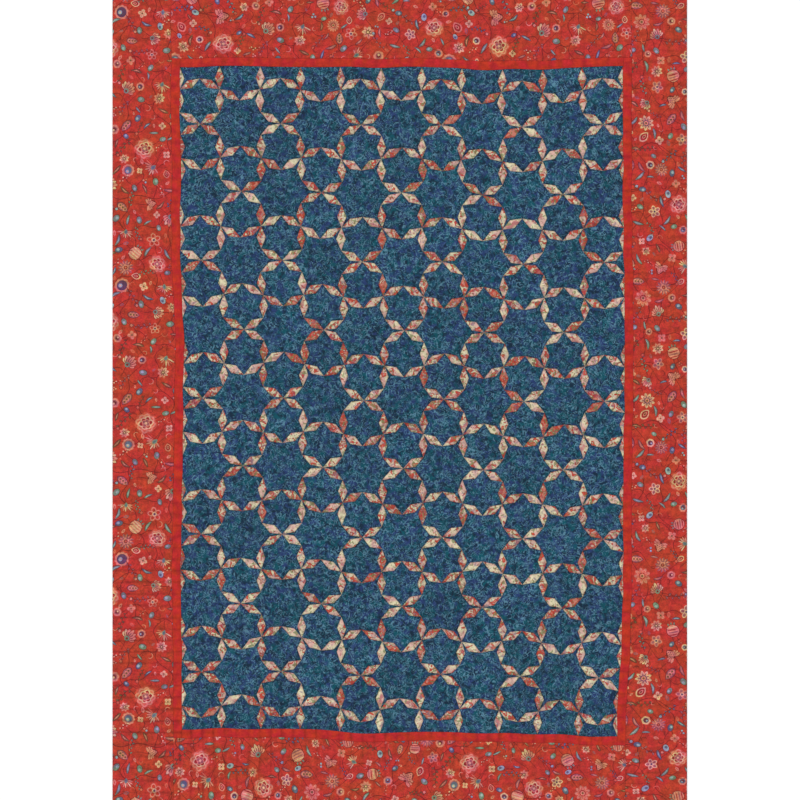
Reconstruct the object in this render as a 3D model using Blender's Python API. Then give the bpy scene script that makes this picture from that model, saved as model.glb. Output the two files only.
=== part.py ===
"""A patchwork quilt lying flat: pieced centre, four plain strips, four print borders.

Metres, +Z up. The origin is on the surface that the quilt lies on, under the middle
of its outline. +Y runs along its length. Run with Blender 4.5.
"""
import math
from collections import namedtuple

import bmesh
import bpy

# Outline of the whole quilt
QUILT_WIDTH = 1.270
QUILT_LENGTH = 1.780

# Edges of the pieced centre, before the cloth's own unevenness
FIELD_LEFT = -0.4835
FIELD_RIGHT = 0.4940
FIELD_BOTTOM = -0.7330
FIELD_TOP = 0.7350
FIELD_WIDTH = FIELD_RIGHT - FIELD_LEFT
FIELD_LENGTH = FIELD_TOP - FIELD_BOTTOM

# Plain strip round the centre, and the space left at each seam
STRIP_WIDTH = 0.019
SEAM_GAP = 0.0004

# Star and hexagon mosaic: star columns across, and hexagon edges along the length
STAR_COLUMNS = 5.5
EDGES_ALONG = 29.0
STAR_POINTS = 6

# Quilting lines across the strips and borders
LINE_PITCH = 0.0256
MIN_STATION_STEP = 0.003
EDGE_DRAW_IN = 0.0008

# Heights above the surface: at the sewn lines, and where the wadding fills the cloth
PATCH_SEAM_HEIGHT = 0.0026
PATCH_SHOULDER_HEIGHT = 0.0043
PATCH_CROWN_HEIGHT = 0.0050
PATCH_SHOULDER_WIDTH = 0.009
SMALLEST_PUFFED_AREA = 0.0009

# One column of a band's cross-section: where it lies from the inner edge (0) to the
# outer edge (1), and its height on a quilting line and midway between two lines
Column = namedtuple("Column", "across line_height crown_height")

BORDER_SECTION = (
    Column(across=0.00, line_height=0.0026, crown_height=0.0031),
    Column(across=0.07, line_height=0.0029, crown_height=0.0044),
    Column(across=0.93, line_height=0.0029, crown_height=0.0044),
    Column(across=1.00, line_height=0.0018, crown_height=0.0023),
)
STRIP_SECTION = (
    Column(across=0.0, line_height=0.0027, crown_height=0.0036),
    Column(across=1.0, line_height=0.0027, crown_height=0.0036),
)

# How far a hand-sewn edge of the centre strays from its straight line. Along is measured
# from the edge's left or bottom end, and shift is to +X or to +Y
EdgePoint = namedtuple("EdgePoint", "along shift")

LEFT_EDGE = (
    EdgePoint(along=0.00, shift=0.0020),
    EdgePoint(along=0.20, shift=0.0020),
    EdgePoint(along=0.33, shift=-0.0010),
    EdgePoint(along=0.52, shift=0.0020),
    EdgePoint(along=0.73, shift=0.0045),
    EdgePoint(along=0.89, shift=0.0070),
    EdgePoint(along=1.06, shift=-0.0020),
    EdgePoint(along=1.22, shift=0.0000),
    EdgePoint(along=1.40, shift=-0.0040),
    EdgePoint(along=FIELD_LENGTH, shift=-0.0030),
)
RIGHT_EDGE = (
    EdgePoint(along=0.00, shift=-0.0140),
    EdgePoint(along=0.11, shift=-0.0100),
    EdgePoint(along=0.22, shift=-0.0030),
    EdgePoint(along=0.34, shift=-0.0010),
    EdgePoint(along=0.60, shift=0.0000),
    EdgePoint(along=0.73, shift=0.0030),
    EdgePoint(along=0.98, shift=0.0030),
    EdgePoint(along=1.10, shift=0.0000),
    EdgePoint(along=FIELD_LENGTH, shift=-0.0010),
)
BOTTOM_EDGE = (
    EdgePoint(along=0.00, shift=0.0060),
    EdgePoint(along=0.27, shift=0.0070),
    EdgePoint(along=0.41, shift=-0.0040),
    EdgePoint(along=0.55, shift=0.0000),
    EdgePoint(along=0.74, shift=-0.0040),
    EdgePoint(along=0.87, shift=-0.0070),
    EdgePoint(along=FIELD_WIDTH, shift=-0.0120),
)
TOP_EDGE = (
    EdgePoint(along=0.00, shift=0.0010),
    EdgePoint(along=0.15, shift=0.0030),
    EdgePoint(along=0.33, shift=0.0000),
    EdgePoint(along=0.53, shift=0.0010),
    EdgePoint(along=0.68, shift=-0.0050),
    EdgePoint(along=0.80, shift=-0.0050),
    EdgePoint(along=0.89, shift=0.0010),
    EdgePoint(along=FIELD_WIDTH, shift=0.0030),
)

# Cloth colours, as 0 to 255 screen values, and how matt the cloth is
BLUE_PRINT = (59, 85, 102)
PLAIN_RED = (184, 49, 41)
RED_PRINT = (180, 62, 50)
CLOTH_ROUGHNESS = 0.9
SHARP_ANGLE = math.radians(40)
WELD_DISTANCE = 0.0001


def clear_scene():
    """Remove every object that the new file starts with."""
    for old in list(bpy.data.objects):
        bpy.data.objects.remove(old, do_unlink=True)


def linear(channel):
    """Turn one 0 to 255 screen value into the linear value that a shader takes."""
    value = channel / 255
    if value <= 0.04045:
        return value / 12.92
    return ((value + 0.055) / 1.055) ** 2.4


def cloth(name, screen_colour):
    """A matt cotton cloth of one colour."""
    material = bpy.data.materials.new(name)
    material.use_nodes = True
    shader = material.node_tree.nodes["Principled BSDF"]
    shader.inputs["Base Color"].default_value = [linear(c) for c in screen_colour] + [1]
    shader.inputs["Roughness"].default_value = CLOTH_ROUGHNESS
    shader.inputs["Metallic"].default_value = 0
    return material


def mix(start, end, share):
    """The value a given share of the way from start to end."""
    return start + (end - start) * share


def clamped(value):
    """Keep a share between 0 and 1."""
    return min(max(value, 0.0), 1.0)


def shift_at(edge, along):
    """How far an uneven edge has strayed at one place, straight between its points."""
    for before, after in zip(edge, edge[1:]):
        if along <= after.along:
            share = clamped((along - before.along) / (after.along - before.along))
            return mix(before.shift, after.shift, share)
    return edge[-1].shift


def hold(value, low_seam, low_rim, high_seam, high_rim):
    """Share of an edge's shift that reaches here: all inside, none at the quilt's rim."""
    if value < low_seam:
        return (value - low_rim) / (low_seam - low_rim)
    if value > high_seam:
        return (high_rim - value) / (high_rim - high_seam)
    return 1.0


def as_laid(x, y):
    """Move a point of the squared-up quilt to where the uneven cloth really has it."""
    across = clamped((x - FIELD_LEFT) / FIELD_WIDTH)
    along = clamped((y - FIELD_BOTTOM) / FIELD_LENGTH)
    shift_x = mix(
        shift_at(LEFT_EDGE, along * FIELD_LENGTH),
        shift_at(RIGHT_EDGE, along * FIELD_LENGTH),
        across,
    )
    shift_y = mix(
        shift_at(BOTTOM_EDGE, across * FIELD_WIDTH),
        shift_at(TOP_EDGE, across * FIELD_WIDTH),
        along,
    )
    hold_x = hold(
        x, FIELD_LEFT - STRIP_WIDTH, -QUILT_WIDTH / 2, FIELD_RIGHT + STRIP_WIDTH, QUILT_WIDTH / 2
    )
    hold_y = hold(
        y, FIELD_BOTTOM - STRIP_WIDTH, -QUILT_LENGTH / 2, FIELD_TOP + STRIP_WIDTH, QUILT_LENGTH / 2
    )
    return x + shift_x * hold_x, y + shift_y * hold_y


def add_object(name, bm, material, collection):
    """Turn a finished bmesh into a named object with its cloth."""
    bmesh.ops.recalc_face_normals(bm, faces=bm.faces[:])
    mesh = bpy.data.meshes.new(name)
    bm.to_mesh(mesh)
    bm.free()
    mesh.shade_smooth()
    mesh.set_sharp_from_angle(angle=SHARP_ANGLE)
    mesh.materials.append(material)
    piece = bpy.data.objects.new(name, mesh)
    collection.objects.link(piece)
    return piece


def add_patch(bm, centre_x, centre_y, radii, first_angle, size_x, size_y):
    """One flat patch of the mosaic, its corners at the given radii in turn."""
    count = STAR_POINTS * len(radii)
    corners = bmesh.ops.create_circle(bm, cap_ends=True, radius=1, segments=count)["verts"]
    for index, corner in enumerate(corners):
        angle = first_angle + 2 * math.pi * index / count
        radius = radii[index % len(radii)]
        corner.co.x = centre_x + radius * math.cos(angle) * size_x
        corner.co.y = centre_y + radius * math.sin(angle) * size_y


def add_mosaic(bm):
    """Six-pointed stars tip to tip, with a hexagon above and below each."""
    star_pitch = FIELD_WIDTH / STAR_COLUMNS
    edge_x = star_pitch / (2 * math.sqrt(3))
    edge_y = FIELD_LENGTH / EDGES_ALONG
    row_pitch = 3 * edge_y
    middle_x = (FIELD_LEFT + FIELD_RIGHT) / 2
    middle_y = (FIELD_BOTTOM + FIELD_TOP) / 2
    rows = math.ceil(FIELD_LENGTH / 2 / row_pitch) + 1
    columns = math.ceil(STAR_COLUMNS / 2) + 1
    for row in range(-rows, rows + 1):
        for column in range(-columns, columns + 1):
            x = middle_x + (column + 0.5 * (row % 2)) * star_pitch
            y = middle_y + row * row_pitch
            add_patch(bm, x, y, (math.sqrt(3), 1), 0, edge_x, edge_y)
            add_patch(bm, x, y + 2 * edge_y, (1,), math.pi / 6, edge_x, edge_y)
            add_patch(bm, x, y - 2 * edge_y, (1,), math.pi / 6, edge_x, edge_y)


def trim_to_field(bm):
    """Cut the mosaic off along the four seams of the centre."""
    half_gap = SEAM_GAP / 2
    seams = (
        ((FIELD_LEFT + half_gap, 0, 0), (-1, 0, 0)),
        ((FIELD_RIGHT - half_gap, 0, 0), (1, 0, 0)),
        ((0, FIELD_BOTTOM + half_gap, 0), (0, -1, 0)),
        ((0, FIELD_TOP - half_gap, 0), (0, 1, 0)),
    )
    for place, outward in seams:
        bmesh.ops.bisect_plane(
            bm,
            geom=bm.verts[:] + bm.edges[:] + bm.faces[:],
            plane_co=place,
            plane_no=outward,
            clear_outer=True,
        )


def add_bends(bm, edge_points, start, axis, side):
    """Give one upright side of the centre an upright fold wherever its edge bends."""
    for point in edge_points[1:-1]:
        place = start + point.along
        crossed = [
            edge
            for edge in bm.edges
            if all(abs(vert.co[1 - axis] - side) < WELD_DISTANCE for vert in edge.verts)
            and (edge.verts[0].co[axis] - place) * (edge.verts[1].co[axis] - place) < 0
        ]
        corners = []
        for edge in crossed:
            first, second = edge.verts
            share = (place - first.co[axis]) / (second.co[axis] - first.co[axis])
            corners.append(bmesh.utils.edge_split(edge, first, share)[1])
        bmesh.ops.connect_verts(bm, verts=corners)


def puff_patches(bm):
    """Raise each patch from its seams to a shoulder, and whole patches to a crown."""
    tops = [face for face in bm.faces if face.normal.z > 0.5]
    puffed = [face for face in tops if face.calc_area() > SMALLEST_PUFFED_AREA]
    whole = [face for face in puffed if not meets_wall(face)]
    bmesh.ops.inset_individual(bm, faces=puffed, thickness=PATCH_SHOULDER_WIDTH)
    for face in puffed:
        for vert in face.verts:
            vert.co.z = PATCH_SHOULDER_HEIGHT
    crowns = bmesh.ops.poke(bm, faces=whole)["verts"]
    for vert in crowns:
        vert.co.z = PATCH_CROWN_HEIGHT


def meets_wall(face):
    """Whether a patch is cut off by a seam, so that it meets the panel's upright side."""
    neighbours = [near for edge in face.edges for near in edge.link_faces]
    return any(abs(near.normal.z) < 0.5 for near in neighbours)


def make_centre(collection):
    """The pieced centre: one flat-bottomed cloth with a puff on each patch."""
    bm = bmesh.new()
    add_mosaic(bm)
    bmesh.ops.remove_doubles(bm, verts=bm.verts[:], dist=WELD_DISTANCE)
    trim_to_field(bm)
    raised = bmesh.ops.extrude_face_region(bm, geom=bm.faces[:], use_keep_orig=True)["geom"]
    for item in raised:
        if isinstance(item, bmesh.types.BMVert):
            item.co.z = PATCH_SEAM_HEIGHT
    bmesh.ops.recalc_face_normals(bm, faces=bm.faces[:])
    puff_patches(bm)
    half_gap = SEAM_GAP / 2
    add_bends(bm, LEFT_EDGE, FIELD_BOTTOM, 1, FIELD_LEFT + half_gap)
    add_bends(bm, RIGHT_EDGE, FIELD_BOTTOM, 1, FIELD_RIGHT - half_gap)
    add_bends(bm, BOTTOM_EDGE, FIELD_LEFT, 0, FIELD_BOTTOM + half_gap)
    add_bends(bm, TOP_EDGE, FIELD_LEFT, 0, FIELD_TOP - half_gap)
    for vert in bm.verts:
        vert.co.x, vert.co.y = as_laid(vert.co.x, vert.co.y)
    return add_object("centre_panel", bm, cloth("blue print patches", BLUE_PRINT), collection)


def fullness(place):
    """0 on a quilting line and 1 midway between two lines."""
    return math.sin(math.pi * place / LINE_PITCH) ** 2


def stations(start, end, edge_points, edge_start):
    """Places along a band for its sections: each line, each crown and each bend."""
    places = [start, end]
    bends = [edge_start + point.along for point in edge_points]
    places += [bend for bend in bends if start < bend < end]
    half_pitch = LINE_PITCH / 2
    for step in range(math.ceil(start / half_pitch), math.floor(end / half_pitch) + 1):
        place = step * half_pitch
        if all(abs(place - taken) > MIN_STATION_STEP for taken in places):
            places.append(place)
    return sorted(places)


def make_band(name, section, places, place_point, draws_in, material, collection):
    """A strip or border: flat underneath, its sections joined along the band.

    place_point turns (across, along) into a point of the squared-up quilt.
    draws_in is the way in from the quilt's rim, or (0, 0) for a band inside it.
    """
    bm = bmesh.new()
    bmesh.ops.create_grid(
        bm, x_segments=len(section) - 1, y_segments=len(places) - 1, size=0.5
    )
    spots = {}
    for vert in bm.verts:
        column = round((vert.co.x + 0.5) * (len(section) - 1))
        row = round((vert.co.y + 0.5) * (len(places) - 1))
        spots[(column, row)] = vert
    raised = bmesh.ops.extrude_face_region(bm, geom=bm.faces[:], use_keep_orig=True)["geom"]
    tops = {}
    for item in raised:
        if isinstance(item, bmesh.types.BMVert):
            column = round((item.co.x + 0.5) * (len(section) - 1))
            row = round((item.co.y + 0.5) * (len(places) - 1))
            tops[(column, row)] = item
    for (column, row), low in spots.items():
        shape = section[column]
        full = fullness(places[row])
        x, y = as_laid(*place_point(shape.across, places[row]))
        if column == len(section) - 1:
            x += draws_in[0] * EDGE_DRAW_IN * (1 - full)
            y += draws_in[1] * EDGE_DRAW_IN * (1 - full)
        low.co = (x, y, 0)
        tops[(column, row)].co = (x, y, mix(shape.line_height, shape.crown_height, full))
    inner_columns = range(1, len(section) - 1)
    flat_seams = [
        bm.edges.get((spots[(column, row)], spots[(column, row + 1)]))
        for column in inner_columns
        for row in range(len(places) - 1)
    ]
    bmesh.ops.dissolve_edges(bm, edges=flat_seams, use_verts=False)
    return add_object(name, bm, material, collection)


def across_x(inner, outer):
    """Sections across X, for a band that runs along Y."""
    return lambda across, along: (mix(inner, outer, across), along)


def across_y(inner, outer):
    """Sections across Y, for a band that runs along X."""
    return lambda across, along: (along, mix(inner, outer, across))


def make_strips(collection):
    """The plain strip round the centre: two long sides, and two ends between them."""
    material = cloth("plain red cloth", PLAIN_RED)
    half_gap = SEAM_GAP / 2
    low = FIELD_BOTTOM - STRIP_WIDTH + half_gap
    high = FIELD_TOP + STRIP_WIDTH - half_gap
    for name, seam, way, edge in (
        ("strip_left", FIELD_LEFT, -1, LEFT_EDGE),
        ("strip_right", FIELD_RIGHT, 1, RIGHT_EDGE),
    ):
        place = across_x(seam + way * half_gap, seam + way * (STRIP_WIDTH - half_gap))
        places = stations(low, high, edge, FIELD_BOTTOM)
        make_band(name, STRIP_SECTION, places, place, (0, 0), material, collection)
    for name, seam, way, edge in (
        ("strip_bottom", FIELD_BOTTOM, -1, BOTTOM_EDGE),
        ("strip_top", FIELD_TOP, 1, TOP_EDGE),
    ):
        place = across_y(seam + way * half_gap, seam + way * (STRIP_WIDTH - half_gap))
        places = stations(FIELD_LEFT + half_gap, FIELD_RIGHT - half_gap, edge, FIELD_LEFT)
        make_band(name, STRIP_SECTION, places, place, (0, 0), material, collection)


def make_borders(collection):
    """The print borders: two as long as the quilt, and two ends between them."""
    material = cloth("red flower print", RED_PRINT)
    half_gap = SEAM_GAP / 2
    ring_left = FIELD_LEFT - STRIP_WIDTH
    ring_right = FIELD_RIGHT + STRIP_WIDTH
    ring_bottom = FIELD_BOTTOM - STRIP_WIDTH
    ring_top = FIELD_TOP + STRIP_WIDTH
    half_width = QUILT_WIDTH / 2
    half_length = QUILT_LENGTH / 2
    for name, seam, way, edge in (
        ("border_left", ring_left, -1, LEFT_EDGE),
        ("border_right", ring_right, 1, RIGHT_EDGE),
    ):
        place = across_x(seam + way * half_gap, way * half_width)
        places = stations(-half_length, half_length, edge, FIELD_BOTTOM)
        make_band(name, BORDER_SECTION, places, place, (-way, 0), material, collection)
    for name, seam, way, edge in (
        ("border_bottom", ring_bottom, -1, BOTTOM_EDGE),
        ("border_top", ring_top, 1, TOP_EDGE),
    ):
        place = across_y(seam + way * half_gap, way * half_length)
        places = stations(ring_left + half_gap, ring_right - half_gap, edge, FIELD_LEFT)
        make_band(name, BORDER_SECTION, places, place, (0, -way), material, collection)


def main():
    clear_scene()
    collection = bpy.data.collections.new("quilt")
    bpy.context.scene.collection.children.link(collection)
    make_centre(collection)
    make_strips(collection)
    make_borders(collection)


main()
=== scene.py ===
"""Looks of a patchwork quilt that lies flat: pieced centre, plain strips, print borders."""
import math
import random
from collections import namedtuple

import bmesh
import bpy
import numpy as np
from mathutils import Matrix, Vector
from mathutils.geometry import delaunay_2d_cdt
from mathutils.kdtree import KDTree


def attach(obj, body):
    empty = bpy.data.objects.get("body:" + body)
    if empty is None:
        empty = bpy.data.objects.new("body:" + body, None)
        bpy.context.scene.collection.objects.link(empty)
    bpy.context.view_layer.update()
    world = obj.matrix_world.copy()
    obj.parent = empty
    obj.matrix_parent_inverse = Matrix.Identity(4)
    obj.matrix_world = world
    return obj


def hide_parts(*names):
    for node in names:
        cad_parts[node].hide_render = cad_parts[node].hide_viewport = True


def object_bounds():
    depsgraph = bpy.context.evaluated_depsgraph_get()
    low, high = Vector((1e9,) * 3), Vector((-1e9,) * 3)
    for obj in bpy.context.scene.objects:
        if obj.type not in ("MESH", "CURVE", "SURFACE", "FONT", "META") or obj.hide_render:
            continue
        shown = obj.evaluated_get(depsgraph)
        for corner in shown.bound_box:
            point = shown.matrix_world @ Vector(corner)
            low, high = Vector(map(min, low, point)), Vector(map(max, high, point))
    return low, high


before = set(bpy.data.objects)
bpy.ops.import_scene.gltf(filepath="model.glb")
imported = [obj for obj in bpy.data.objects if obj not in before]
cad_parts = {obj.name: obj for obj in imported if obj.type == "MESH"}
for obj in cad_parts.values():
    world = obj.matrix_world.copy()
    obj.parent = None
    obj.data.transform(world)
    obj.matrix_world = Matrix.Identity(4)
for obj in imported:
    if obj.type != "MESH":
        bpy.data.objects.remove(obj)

cad_low, cad_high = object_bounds()

# The squared-up quilt in metres: its pieced centre, its strips' outer edge and its own rim
Region = namedtuple("Region", "left right bottom top")
FIELD = Region(left=-0.4835, right=0.4940, bottom=-0.7330, top=0.7350)
FIELD_WIDTH = FIELD.right - FIELD.left
FIELD_LENGTH = FIELD.top - FIELD.bottom
FIELD_MIDDLE_X = (FIELD.left + FIELD.right) / 2
FIELD_MIDDLE_Y = (FIELD.bottom + FIELD.top) / 2
STRIP_WIDTH = 0.019
STRIP_RIM = Region(
    FIELD.left - STRIP_WIDTH, FIELD.right + STRIP_WIDTH,
    FIELD.bottom - STRIP_WIDTH, FIELD.top + STRIP_WIDTH,
)
QUILT_WIDTH = cad_high.x - cad_low.x
QUILT_LENGTH = cad_high.y - cad_low.y
QUILT_RIM = Region(-QUILT_WIDTH / 2, QUILT_WIDTH / 2, -QUILT_LENGTH / 2, QUILT_LENGTH / 2)
SEAM_GAP = 0.0002

# How far each edge of the centre strays from its straight line, to +X or to +Y. Along is
# measured from the edge's left or bottom end
EdgePoint = namedtuple("EdgePoint", "along shift")
LEFT_EDGE = (
    EdgePoint(0.00, 0.0020), EdgePoint(0.20, 0.0020), EdgePoint(0.33, -0.0010),
    EdgePoint(0.52, 0.0020), EdgePoint(0.73, 0.0045), EdgePoint(0.89, 0.0070),
    EdgePoint(1.06, -0.0020), EdgePoint(1.22, 0.0000), EdgePoint(1.40, -0.0040),
    EdgePoint(FIELD_LENGTH, -0.0030),
)
RIGHT_EDGE = (
    EdgePoint(0.00, -0.0140), EdgePoint(0.11, -0.0100), EdgePoint(0.22, -0.0030),
    EdgePoint(0.34, -0.0010), EdgePoint(0.60, 0.0000), EdgePoint(0.73, 0.0030),
    EdgePoint(0.98, 0.0030), EdgePoint(1.10, 0.0000), EdgePoint(FIELD_LENGTH, -0.0010),
)
BOTTOM_EDGE = (
    EdgePoint(0.00, 0.0060), EdgePoint(0.27, 0.0070), EdgePoint(0.41, -0.0040),
    EdgePoint(0.55, 0.0000), EdgePoint(0.74, -0.0040), EdgePoint(0.87, -0.0070),
    EdgePoint(FIELD_WIDTH, -0.0120),
)
TOP_EDGE = (
    EdgePoint(0.00, 0.0010), EdgePoint(0.15, 0.0030), EdgePoint(0.33, 0.0000),
    EdgePoint(0.53, 0.0010), EdgePoint(0.68, -0.0050), EdgePoint(0.80, -0.0050),
    EdgePoint(0.89, 0.0010), EdgePoint(FIELD_WIDTH, 0.0030),
)
HAND_WANDER = 0.0008
HAND_WAVELENGTH = 0.11
CURVE_SAMPLES = 301
CURVE_WINDOW = 31

# Mosaic of the centre: star columns across, patch edges along the length, and how wide a
# slim scrap is beside its length
STAR_COLUMNS = 5.5
EDGES_ALONG = 29.0
STAR_POINTS = 6
SCRAP_WIDTH_SHARE = 0.39
PATCH_EDGE = FIELD_WIDTH / STAR_COLUMNS / (2 * math.sqrt(3))
LENGTHWISE_STRETCH = FIELD_LENGTH / EDGES_ALONG / PATCH_EDGE
STAR_ROWS_MADE = range(-5, 6)
STAR_COLUMNS_MADE = range(-4, 5)
SCRAP_TONES = (-0.6, -0.3, 0.0, 0.1, 0.3, 0.6, 1.0)
MOSAIC_SEED = 11

# Mesh density of the patches
SEAM_STEP = 0.0055
SHOULDER_ROWS = (0.0013, 0.0036)
INNER_STEP = 0.0072
INNER_MARGIN = 0.0058
ROW_CLEARANCE = 0.95
PATCH_MERGE_DISTANCE = 1e-7
WELD_DISTANCE = 0.00002

# Heights of the cloth's face above the surface it lies on
SEAM_HEIGHT = 0.0023
BAND_SEAM_HEIGHT = 0.0030
PATCH_RISE = 0.0026
PATCH_SHOULDER = 0.0058
SCRAP_RISE = 0.0016
SCRAP_SHOULDER = 0.0028
BAND_LINE_HEIGHT = 0.0029
BAND_CROWN_HEIGHT = 0.0040
BAND_SHOULDER = 0.0030
STRIP_CROWN_HEIGHT = 0.0038
RIM_HEIGHT = 0.0010
RIM_ROUNDING = 0.0055
CROWN_SHARPNESS = 1.3

# Unevenness of the face: in shares of a puff's height over the centre, and in metres
# over the strips and borders
Ripple = namedtuple("Ripple", "height wavelength seed")
PUFF_RIPPLES = (Ripple(0.10, 0.16, 3), Ripple(0.10, 0.030, 4))
BAND_RIPPLES = (Ripple(0.00016, 0.035, 6), Ripple(0.00020, 0.12, 7))
SHARP_ANGLE = 60

# Quilting lines across the strips and borders
LINE_PITCH = 0.0256
LINE_WANDER = 0.0009
LINE_WAVELENGTH = 0.16
LINE_ROWS = (-0.36, -0.20, -0.07, 0.0, 0.07, 0.20, 0.36, 0.5)
BAND_COLUMN_STEP = 0.009
OUTLINE_CLEARANCE = 0.0010
MERGE_DISTANCE = 0.00006
BAND_EDGE_COLUMNS = (0.0012, 0.0030, 0.0058)
BAND_END_MARGIN = 0.0006
STITCH_LENGTH = 0.0034
STITCH_SHARE = 0.6
THREAD_HALF_WIDTH = 0.0003
LINE_SHADE_REACH = 0.0085
GROOVE_REACH = 0.0050
GROOVE_SHADE = 0.04
GROOVE_DEPTH_SHARE = 0.5
FOLD_LENGTH_SHARE = 0.35
BAND_FOLD_DEPTH = 0.0012
BAND_SEAM_REACH = 0.0014
BAND_SEAM_SHADE = 0.18

# Finish of every cloth, and how far each patch's cut is moved and turned on its print
ROUGHNESS = 0.88
SPECULAR = 0.25
SHEEN = 0.05
BUMP_STRENGTH = 0.8
WEAVE_SCALE = 300.0
WEAVE_DEPTH = 0.0001
CUT_SHIFT = (7.3, 19.1)
CUT_TURN = 40.0

# One repeat of the flower print, and the print's colours as 0 to 255 screen values
PRINT_REPEAT = 0.607
PRINT_SEED = 29
PRINT_COLOURS = {
    "ground": (181, 52, 39),
    "halo": (186, 72, 58),
    "cream": (209, 160, 132),
    "blush": (203, 119, 104),
    "coral": (196, 88, 72),
    "mauve": (150, 82, 88),
    "crimson": (152, 36, 42),
    "plum": (94, 60, 86),
    "slate": (90, 92, 116),
    "sky": (146, 154, 166),
    "sage": (112, 120, 112),
    "olive": (116, 78, 54),
    "vine": (120, 32, 28),
    "shade": (112, 36, 36),
}

# Floor, lamp and sky, with the sky's strength at the horizon and higher up
FLOOR_SIZE = 60
FLOOR_DROP = 0.0004
LAMP_PLACE = (-0.42, 0.70, 1.0)
LAMP_ENERGY = 2.3
LAMP_ANGLE = 22
SKY_LOW = 0.92
SKY_HIGH = 0.49
SKY_FADE_TOP = 0.5

# Camera: straight above, framed as the photograph is
LENS = 85
SENSOR = 36
VIEW_WIDTH = 1.767
VIEW_CENTRE_X = 0.00055
FACE_HEIGHT = 0.004


def linear(channel):
    """Turn one 0 to 255 screen value into the linear value that a shader takes."""
    value = channel / 255
    if value <= 0.04045:
        return value / 12.92
    return ((value + 0.055) / 1.055) ** 2.4


def colour(red, green, blue):
    """A 0 to 255 screen colour as a shader's colour."""
    return (linear(red), linear(green), linear(blue), 1.0)


def ripples(x, y, wavelength, seed, waves=9):
    """Smooth uneven waves of about unit height, much alike at every place."""
    chance = random.Random(seed)
    total = np.zeros_like(x)
    for _ in range(waves):
        heading = chance.uniform(0, 2 * math.pi)
        number = 2 * math.pi / (wavelength * chance.uniform(0.7, 1.6))
        start = chance.uniform(0, 2 * math.pi)
        total += np.sin(number * (x * math.cos(heading) + y * math.sin(heading)) + start)
    return total / math.sqrt(waves / 2)


def rippled(x, y, kinds):
    """Ripples of several kinds together."""
    return sum(kind.height * ripples(x, y, kind.wavelength, kind.seed) for kind in kinds)


def side_distances(x, y, region):
    """Distance from each point to each side of a rectangle."""
    return {
        "left": x - region.left,
        "right": region.right - x,
        "bottom": y - region.bottom,
        "top": region.top - y,
    }


def rim_distance(x, y, region):
    """Distance from each point to the nearest side of a rectangle."""
    return np.minimum.reduce(list(side_distances(x, y, region).values()))


def smooth_edge(edge):
    """An uneven edge as a smooth curve: places along it, and the shift at each."""
    places = np.linspace(0, edge[-1].along, CURVE_SAMPLES)
    straight = np.interp(places, [p.along for p in edge], [p.shift for p in edge])
    window = np.hanning(CURVE_WINDOW)
    padded = np.pad(straight, CURVE_WINDOW // 2, mode="edge")
    return places, np.convolve(padded, window / window.sum(), mode="valid")


LEFT_CURVE = smooth_edge(LEFT_EDGE)
RIGHT_CURVE = smooth_edge(RIGHT_EDGE)
BOTTOM_CURVE = smooth_edge(BOTTOM_EDGE)
TOP_CURVE = smooth_edge(TOP_EDGE)


def hold(value, low_seam, low_rim, high_seam, high_rim):
    """Share of an edge's shift that reaches here: all inside, none at the quilt's rim."""
    low = (value - low_rim) / (low_seam - low_rim)
    high = (high_rim - value) / (high_rim - high_seam)
    return np.clip(np.minimum(low, high), 0, 1)


def as_laid(x, y):
    """Move points of the squared-up quilt to where the uneven cloth really has them."""
    across = np.clip((x - FIELD.left) / FIELD_WIDTH, 0, 1)
    along = np.clip((y - FIELD.bottom) / FIELD_LENGTH, 0, 1)
    left = np.interp(along * FIELD_LENGTH, *LEFT_CURVE)
    right = np.interp(along * FIELD_LENGTH, *RIGHT_CURVE)
    bottom = np.interp(across * FIELD_WIDTH, *BOTTOM_CURVE)
    top = np.interp(across * FIELD_WIDTH, *TOP_CURVE)
    hold_x = hold(x, STRIP_RIM.left, QUILT_RIM.left, STRIP_RIM.right, QUILT_RIM.right)
    hold_y = hold(y, STRIP_RIM.bottom, QUILT_RIM.bottom, STRIP_RIM.top, QUILT_RIM.top)
    hand_x = hold_x * HAND_WANDER * ripples(x, y, HAND_WAVELENGTH, 1)
    hand_y = hold_y * HAND_WANDER * ripples(x, y, HAND_WAVELENGTH, 2)
    laid_x = x + (left + (right - left) * across) * hold_x + hand_x
    laid_y = y + (bottom + (top - bottom) * along) * hold_y + hand_y
    return laid_x, laid_y


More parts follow.
